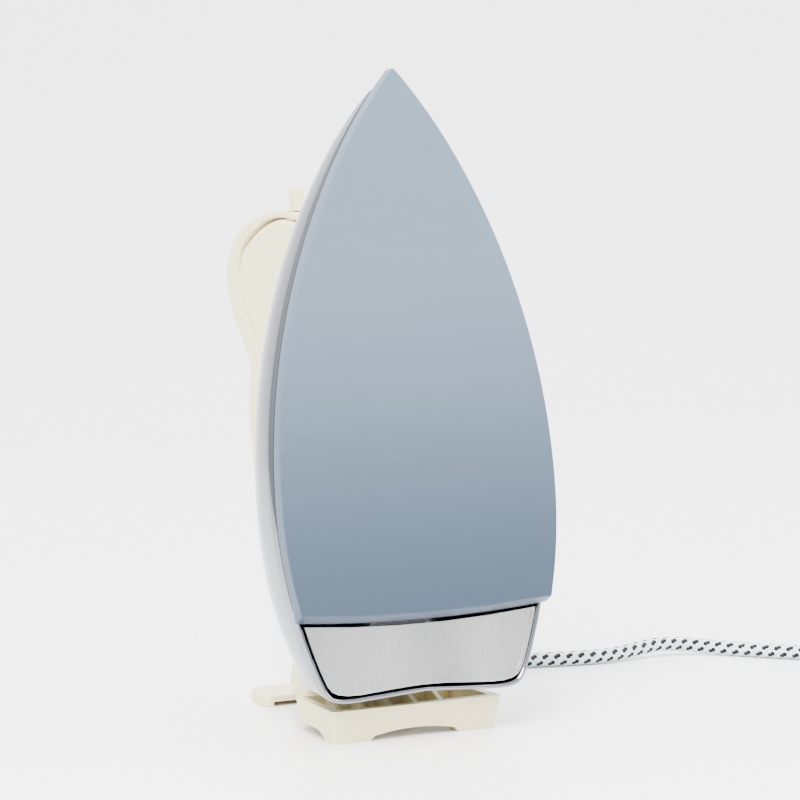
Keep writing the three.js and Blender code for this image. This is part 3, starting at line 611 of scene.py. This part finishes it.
def sole_half_width(y):
    radius = SOLE_NOSE_RADIUS if y > SOLE_WIDEST_Y else SOLE_HEEL_RADIUS
    arc = SOLE_HALF_WIDTH - radius + math.sqrt(radius ** 2 - (y - SOLE_WIDEST_Y) ** 2)
    into_point = max(y - SOLE_POINT_Y, 0) / (SOLE_LENGTH - SOLE_POINT_Y)
    return arc - SOLE_POINT_DRAW * into_point ** 2


def cover_height(y):
    run = min(max((y - COVER_CREST_Y) / (COVER_NOSE_Y + MM - COVER_CREST_Y), 0), 1)
    return COVER_HEIGHT * (1 - run ** 2) ** COVER_CREST_POWER


def rear_closing(y):
    into = min(max((COVER_REAR_Y + COVER_REAR_ROUND - y) / COVER_REAR_ROUND, 0), 1)
    return (1 - into ** COVER_REAR_POWER) ** (1 / COVER_REAR_POWER)


def smoothstep(value, low, high):
    t = min(max((value - low) / (high - low), 0), 1)
    return t * t * (3 - 2 * t)


def rear_shift(x, y, z):
    weight = smoothstep(-y, REAR_SHIFT_FROM, REAR_SHIFT_FULL)
    arch = max(1 - (x / ARCH_HALF_SPAN) ** 2, 0)
    return weight * (COVER_REAR_SLANT * (z - COVER_RIM_Z) + COVER_REAR_ARCH * arch)


def cover_ring(y):
    closing = max(rear_closing(y), LEAST_CLOSING)
    half = max((sole_half_width(y) - COVER_INSET) * closing, LEAST_HALF_WIDTH)
    height = max(cover_height(y) * closing, LEAST_HEIGHT)
    ring = []
    for i in range(COVER_AROUND + 1):
        angle = math.pi * i / COVER_AROUND
        cos, sin = math.cos(angle), max(math.sin(angle), 0)
        x = half * math.copysign(abs(cos) ** (2 / COVER_CORNER), cos)
        z = COVER_RIM_Z + height * sin ** (2 / COVER_CORNER)
        ring.append(IRON @ Vector((x, y + rear_shift(x, y, z), z)))
    return ring


def chrome_cover():
    vertices = []
    for j in range(COVER_ALONG + 1):
        t = j / COVER_ALONG
        ease = 0.5 - 0.5 * math.cos(math.pi * t)
        eased = COVER_ROW_EASING * ease + (1 - COVER_ROW_EASING) * t
        vertices += cover_ring(COVER_REAR_Y + (COVER_NOSE_Y - COVER_REAR_Y) * eased)
    row = COVER_AROUND + 1
    faces = [
        (j * row + i, (j + 1) * row + i, (j + 1) * row + i + 1, j * row + i + 1)
        for j in range(COVER_ALONG)
        for i in range(COVER_AROUND)
    ]
    faces.append(tuple(range(row)))
    faces.append(tuple(reversed(range(COVER_ALONG * row, (COVER_ALONG + 1) * row))))
    cover = new_piece("chrome_shell", vertices, faces, "iron", CHROME)
    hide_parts("chrome_cover")
    wall = cover.modifiers.new("wall", "SOLIDIFY")
    wall.thickness = COVER_WALL
    wall.offset = -1
    smooth(cover, 50)
    return cover


def gap_shade_sheet():
    """A thin near-black sheet in the gap between the soleplate and the cover's rim: painted shade
    for that gap.
    """
    rows = []
    for i in range(GAP_SHADE_STEPS + 1):
        y = GAP_SHADE_START_Y + (COVER_NOSE_Y - GAP_SHADE_END_SPACE) * i / GAP_SHADE_STEPS
        rows.append((sole_half_width(y) - GAP_SHADE_INSET, y))
    outline = rows + [(-x, y) for x, y in reversed(rows)]
    count = len(outline)
    vertices = []
    section = ((0, GAP_SHADE_LOW), (0, GAP_SHADE_HIGH), (GAP_SHADE_BAND, GAP_SHADE_HIGH), (GAP_SHADE_BAND, GAP_SHADE_LOW))
    for shrink, z in section:
        for x, y in outline:
            vertices.append(IRON @ Vector((x - math.copysign(shrink * MM, x), y, z * MM)))
    faces = []
    for ring in range(4):
        a, b = ring * count, (ring + 1) % 4 * count
        faces += [(a + k, a + k + 1, b + k + 1, b + k) for k in range(count - 1)]
    faces.append(tuple(ring * count for ring in range(4)))
    faces.append(tuple((4 - ring) * count - 1 for ring in range(4)))
    return new_piece("gap_shade_sheet", vertices, faces, "iron", GAP_SHADE)


chrome_cover()
gap_shade_sheet()

# ---------------------------------------------------------------- moulded pieces and metalwork

# Width of the rounding on each shell's edges, over what the CAD node has.
SHELL_EDGES = {
    "handle_body": 0,
    "handle_top_strip": 0,
    "heel_block": 0,
    "rear_plinth": 0,
    "rear_foot": 0.3 * MM,
    "cord_guard": 0.2 * MM,
    "plug_body": 0,
    "plug_boot": 0,
    "soleplate": 0,
    "rear_plate": 0,
}
shells = {
    name: refined(name, "iron", edge, SHARP_ANGLE if edge else PLAIN_SHARP_ANGLE)
    for name, edge in SHELL_EDGES.items()
}
refined("heat_selector_lever", "heat_selector", 0)
pins = [nodes["plug_pin_left"], nodes["plug_pin_right"]]
mains_lead([shells["plug_boot"], shells["plug_body"], *pins, coil_tie()])

# ---------------------------------------------------------------- floor and light

FLOOR_FRONT, FLOOR_BACK = -3.0, 0.9     # the flat part, along the camera's line
FLOOR_BEND = 1.2                        # radius of the bend up to the back wall
FLOOR_TOP = 2.2
FLOOR_HALF_WIDTH = 4
FLOOR_BEND_STEPS = 12
LIGHT_AIM = Vector((0, 0, 0.12))
WORLD_STRENGTH = 2.2
WORLD_LOW = (0.55, 0.57, 0.60, 1)       # at the horizon and below it
WORLD_TOP = (1, 1, 1, 1)
WORLD_TOP_Z = 0.75                      # height of the direction from which on it is fully lit


def add_floor():
    """A pale floor that bends up into a back wall, square to the camera."""
    profile = [(FLOOR_FRONT, 0), (FLOOR_BACK, 0)]
    for i in range(1, FLOOR_BEND_STEPS + 1):
        angle = math.pi / 2 * i / FLOOR_BEND_STEPS
        back = FLOOR_BACK + FLOOR_BEND * math.sin(angle)
        profile.append((back, FLOOR_BEND * (1 - math.cos(angle))))
    profile.append((FLOOR_BACK + FLOOR_BEND, FLOOR_TOP))
    vertices = [(x, y, z) for y, z in profile for x in (-FLOOR_HALF_WIDTH, FLOOR_HALF_WIDTH)]
    faces = [(2 * i, 2 * i + 1, 2 * i + 3, 2 * i + 2) for i in range(len(profile) - 1)]
    mesh = bpy.data.meshes.new("floor")
    mesh.from_pydata(vertices, [], faces)
    for polygon in mesh.polygons:
        polygon.use_smooth = True
    graph = Graph("floor")
    graph.shade(base_color=(0.83, 0.83, 0.84), roughness=0.22)
    graph.shader.inputs["Specular IOR Level"].default_value = 0.35
    mesh.materials.append(graph.material)
    floor = bpy.data.objects.new("floor", mesh)
    floor.rotation_euler = (0, 0, CAMERA_AZIMUTH)
    bpy.context.scene.collection.objects.link(floor)


def add_softbox(name, place, size, power):
    data = bpy.data.lights.new(name, "AREA")
    data.shape = "RECTANGLE"
    data.size, data.size_y = size
    data.energy = power
    lamp = bpy.data.objects.new(name, data)
    lamp.location = place
    lamp.rotation_mode = "QUATERNION"
    lamp.rotation_quaternion = (LIGHT_AIM - Vector(place)).to_track_quat("-Z", "Y")
    bpy.context.scene.collection.objects.link(lamp)


def add_world():
    """Even studio light that dims from overhead to the horizon and stays dim below it."""
    world = bpy.data.worlds.new("studio")
    world.use_nodes = True
    tree = world.node_tree
    background = tree.nodes["Background"]
    background.inputs["Strength"].default_value = WORLD_STRENGTH
    direction = tree.nodes.new("ShaderNodeTexCoord").outputs["Generated"]
    parts = tree.nodes.new("ShaderNodeSeparateXYZ")
    tree.links.new(direction, parts.inputs[0])
    ramp = tree.nodes.new("ShaderNodeValToRGB")
    ramp.color_ramp.elements[0].position = 0.0
    ramp.color_ramp.elements[0].color = WORLD_LOW
    ramp.color_ramp.elements[1].position = WORLD_TOP_Z
    ramp.color_ramp.elements[1].color = WORLD_TOP
    tree.links.new(parts.outputs["Z"], ramp.inputs[0])
    tree.links.new(ramp.outputs[0], background.inputs["Color"])
    bpy.context.scene.world = world


add_floor()
add_softbox("key_light", (-1.0, -1.1, 1.7), (1.1, 1.1), 200)
add_softbox("fill_light", (1.6, -0.7, 1.1), (1.4, 1.2), 42)
add_softbox("top_light", (0, 0.3, 2.0), (1.8, 1.4), 96)
add_world()
